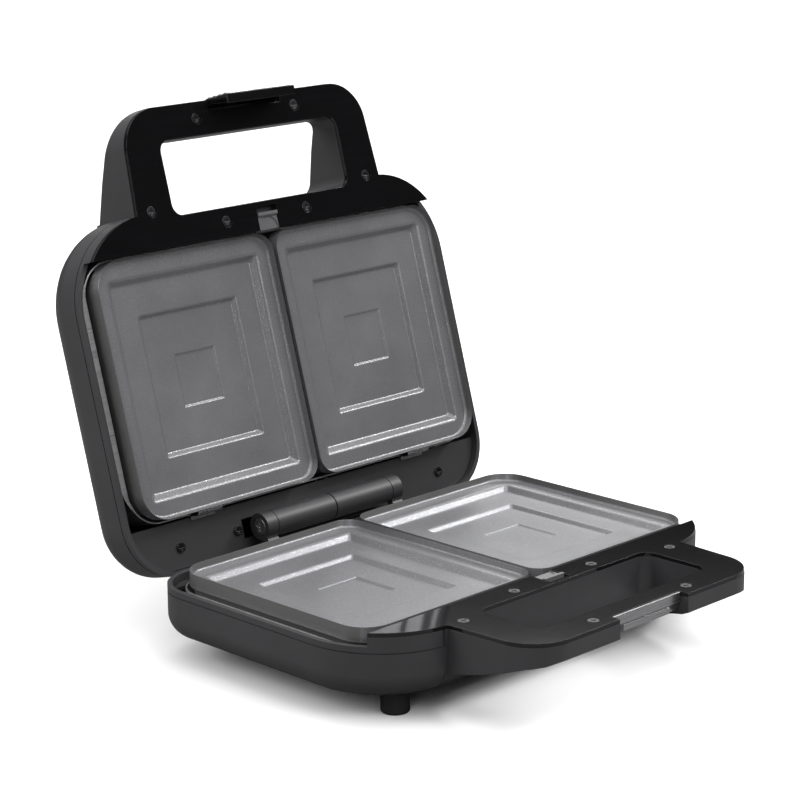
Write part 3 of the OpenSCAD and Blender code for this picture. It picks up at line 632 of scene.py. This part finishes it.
class TOASTER_OT_inside(bpy.types.Operator):
    """Gives the inner pieces their finishes"""

    bl_idname = "toaster.inside"
    bl_label = "Inner pieces"

    def execute(self, context):
        edges = context.scene.toaster_edges
        soften("base_reflector", "base_reflector_pan", edges.metal, 2)
        soften("lid_reflector", "lid_reflector_pan", edges.metal, 2)
        for node, obj in frame["nodes"].items():
            if obj.data.materials:
                obj.data.materials[0] = finish(SLOT_OF[node])
            else:
                obj.data.materials.append(finish(SLOT_OF[node]))
        return {"FINISHED"}


# ---- stage ----


def area_light(name, at, aim, size, power):
    light = bpy.data.lights.new(name, "AREA")
    light.shape = "RECTANGLE"
    light.size, light.size_y = size
    light.energy = power
    obj = bpy.data.objects.new(name, light)
    obj.location = at
    obj.rotation_mode = "QUATERNION"
    obj.rotation_quaternion = (Vector(aim) - Vector(at)).to_track_quat("-Z", "Y")
    obj.visible_camera = False
    bpy.context.scene.collection.objects.link(obj)
    return obj


def studio_world():
    world = bpy.data.worlds.new("studio")
    bpy.context.scene.world = world
    world.use_nodes = True
    tree = world.node_tree
    tree.nodes.clear()
    out = tree.nodes.new("ShaderNodeOutputWorld")
    seen = tree.nodes.new("ShaderNodeBackground")
    lit = tree.nodes.new("ShaderNodeBackground")
    mix = tree.nodes.new("ShaderNodeMixShader")
    ray = tree.nodes.new("ShaderNodeLightPath")
    seen.inputs["Color"].default_value = (1, 1, 1, 1)
    seen.inputs["Strength"].default_value = 1.0
    way = tree.nodes.new("ShaderNodeTexCoord")
    split = tree.nodes.new("ShaderNodeSeparateXYZ")
    tree.links.new(way.outputs["Generated"], split.inputs["Vector"])
    tree.links.new(ramp(tree, split.outputs["Z"], 0.012, 1.0, (0.30, 0.80)), lit.inputs["Color"])
    lit.inputs["Strength"].default_value = 1.75
    tree.links.new(ray.outputs["Is Camera Ray"], mix.inputs["Fac"])
    tree.links.new(lit.outputs[0], mix.inputs[1])
    tree.links.new(seen.outputs[0], mix.inputs[2])
    tree.links.new(mix.outputs[0], out.inputs["Surface"])


class TOASTER_OT_stage(bpy.types.Operator):
    """Makes the floor, lights and camera"""

    bl_idname = "toaster.stage"
    bl_label = "Stage"

    def execute(self, context):
        bm = bmesh.new()
        bmesh.ops.create_grid(bm, x_segments=1, y_segments=1, size=8.0)
        mesh = bpy.data.meshes.new("floor")
        bm.to_mesh(mesh)
        bm.free()
        floor = bpy.data.objects.new("floor", mesh)
        context.scene.collection.objects.link(floor)
        material, tree, shader, vector = new_material(
            "pale_floor", Roughness=0.6, Specular_IOR_Level=0.2
        )
        seen = ramp(tree, noise_node(tree, vector, 3.0), 0.86, 0.9)
        ray = tree.nodes.new("ShaderNodeLightPath")
        mix = tree.nodes.new("ShaderNodeMix")
        mix.data_type = "RGBA"
        tree.links.new(ray.outputs["Is Camera Ray"], mix.inputs["Factor"])
        mix.inputs["A"].default_value = (0.16, 0.16, 0.16, 1)
        tree.links.new(seen, mix.inputs["B"])
        tree.links.new(mix.outputs["Result"], shader.inputs["Base Color"])
        mesh.materials.append(material)
        studio_world()
        area_light("overhead_box", (0.1, 0.2, 1.7), (0, 0, 0), (1.6, 1.2), 5)
        area_light("front_box", (0.1, -1.7, 1.2), (0, 0.1, 0.15), (0.9, 0.7), 13)
        area_light("left_box", (-1.3, 0.8, 0.9), (0, 0.05, 0.15), (0.5, 0.9), 12)
        area_light("edge_strip", (-1.55, -1.0, 0.85), (0, 0.0, 0.15), (0.12, 1.0), 4)
        area_light("key_strip", (1.36, -0.72, 1.36), (0, 0.05, 0.1), (1.0, 0.22), 18)
        area_light("back_box", (1.45, 1.45, 1.25), (0, 0, 0.05), (2.0, 0.7), 13)
        camera = bpy.data.cameras.new("camera")
        camera.lens = 113.7
        camera.sensor_width = 36
        camera.clip_start, camera.clip_end = 0.05, 50
        obj = bpy.data.objects.new("camera", camera)
        a, e, roll = math.radians(-45.42), math.radians(14.63), math.radians(-0.35)
        back = Vector((math.sin(a) * math.cos(e), -math.cos(a) * math.cos(e), math.sin(e)))
        obj.rotation_mode = "QUATERNION"
        turn = Matrix.Rotation(roll, 3, "Z").to_quaternion()
        obj.rotation_quaternion = (-back).to_track_quat("-Z", "Y") @ turn
        obj.location = (-0.87249, -0.84129, 0.43421)
        context.scene.collection.objects.link(obj)
        context.scene.camera = obj
        context.scene.view_settings.view_transform = "Standard"
        return {"FINISHED"}


class TOASTER_PT_panel(bpy.types.Panel):
    """Lists the toaster's pieces and sizes"""

    bl_idname = "TOASTER_PT_panel"
    bl_label = "Hinged toaster"
    bl_space_type = "VIEW_3D"
    bl_region_type = "UI"
    bl_category = "Toaster"

    def draw(self, context):
        for piece in PIECES:
            self.layout.operator(piece.bl_idname)
        for name, group in SETTINGS.items():
            box = self.layout.box()
            box.label(text=group.__name__)
            for key in group.__annotations__:
                box.prop(getattr(context.scene, name), key)


PIECES = [
    TOASTER_OT_stage,
    TOASTER_OT_casing,
    TOASTER_OT_fascias,
    TOASTER_OT_plates,
    TOASTER_OT_latch,
    TOASTER_OT_hardware,
    TOASTER_OT_inside,
]


def register():
    for kind in [*SETTINGS.values(), *PIECES, TOASTER_PT_panel]:
        bpy.utils.register_class(kind)
    for name, group in SETTINGS.items():
        setattr(bpy.types.Scene, name, PointerProperty(type=group))


def unregister():
    for name in SETTINGS:
        delattr(bpy.types.Scene, name)
    for kind in reversed([*SETTINGS.values(), *PIECES, TOASTER_PT_panel]):
        bpy.utils.unregister_class(kind)


def main():
    register()
    bpy.ops.toaster.stage()
    bpy.ops.toaster.casing()
    bpy.ops.toaster.fascias()
    bpy.ops.toaster.plates()
    bpy.ops.toaster.latch()
    bpy.ops.toaster.hardware()
    bpy.ops.toaster.inside()


if __name__ == "__main__":
    main()
